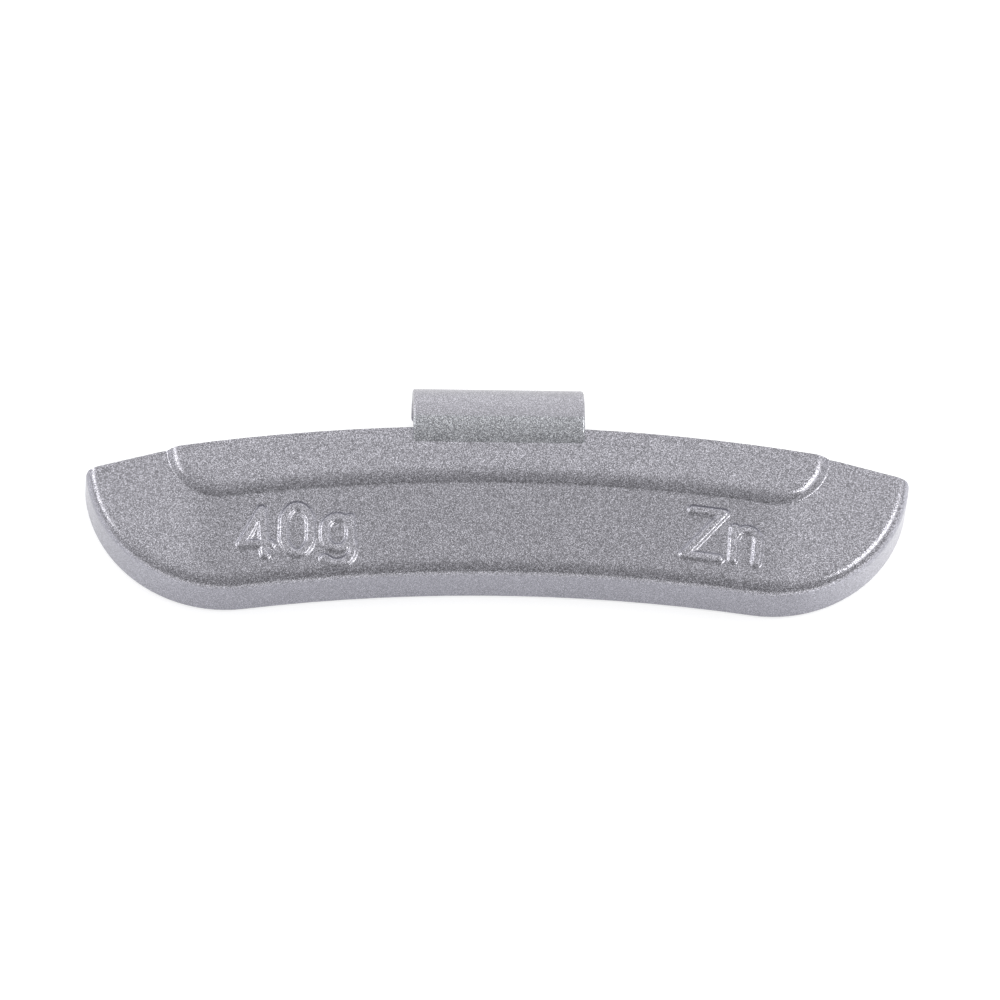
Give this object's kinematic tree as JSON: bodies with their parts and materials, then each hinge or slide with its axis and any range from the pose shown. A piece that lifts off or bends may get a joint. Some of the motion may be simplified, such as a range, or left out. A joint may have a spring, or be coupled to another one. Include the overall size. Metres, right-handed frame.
{
  "type": "wheel balance weight",
  "caption": "Clip-on wheel balance weight: a curved zinc casting with a raised pad along its top, closed round a rolled spring steel clip that grips the lip of a rim.",
  "frame": {"origin": "middle of the flat back face, on the line that halves its length, halfway between its top and lower edges", "axes": "+X along the length, +Y away from the wheel's axle towards the clip, +Z out of the front face; the weight lies on its back"},
  "size_m": [0.076, 0.0214, 0.0069],
  "materials": {
    "casting_coat": "satin silver metallic coat with fine flakes on cast zinc",
    "clip_coat": "smooth satin silver coat on spring steel strip"
  },
  "bodies": {
    "root": {"weight_body": "casting_coat", "rim_clip": "clip_coat"}
  },
  "joints": []
}
